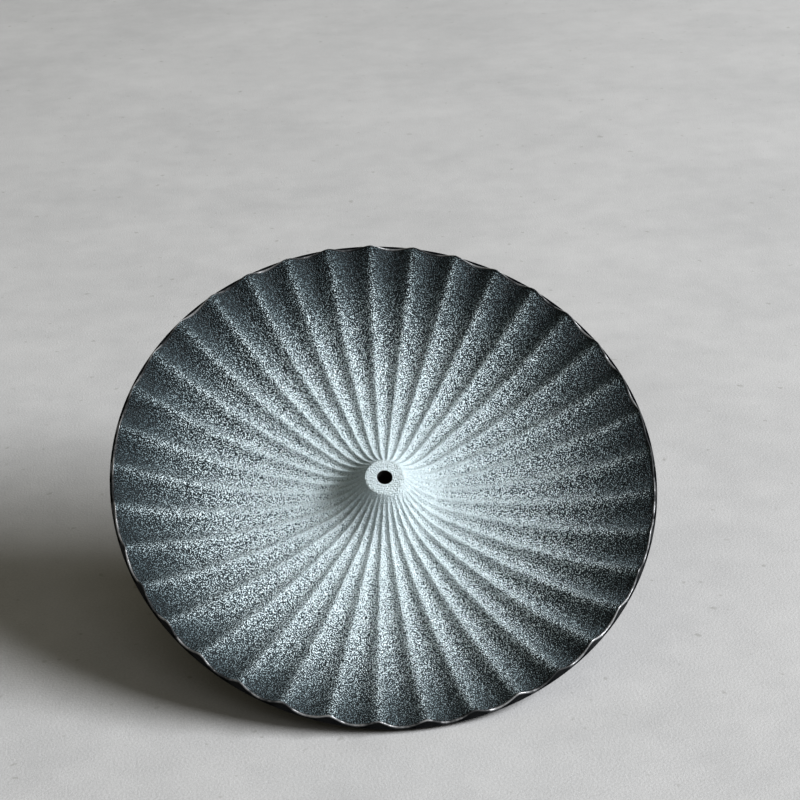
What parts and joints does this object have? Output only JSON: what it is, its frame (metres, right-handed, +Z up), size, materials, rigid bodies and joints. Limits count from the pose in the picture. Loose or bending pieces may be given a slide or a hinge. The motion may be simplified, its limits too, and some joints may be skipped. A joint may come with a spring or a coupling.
{
  "type": "incense burner",
  "caption": "Shallow fluted cast dish that leans on a slanted foot, with a raised centre boss bored for one incense stick.",
  "frame": {"origin": "on the table, under the middle of the part's bounding box, between the low and the high side of the rim", "axes": "+Z up from the table, -Y towards the low side of the rim that the dish leans over to, +X to the right seen from that side"},
  "size_m": [0.1108, 0.0918, 0.0654],
  "materials": {
    "dish_iron": "sand-cast grain, dark coat with pale frosting from the centre",
    "foot_iron": "dark satin coat over cast grain",
    "screw_steel": "plain zinc-grey steel",
    "pad_rubber": "matt black rubber"
  },
  "bodies": {
    "root": {"fluted_dish": "dish_iron", "slanted_foot": "foot_iron", "foot_screw": "screw_steel", "floor_pad": "pad_rubber"}
  },
  "joints": []
}
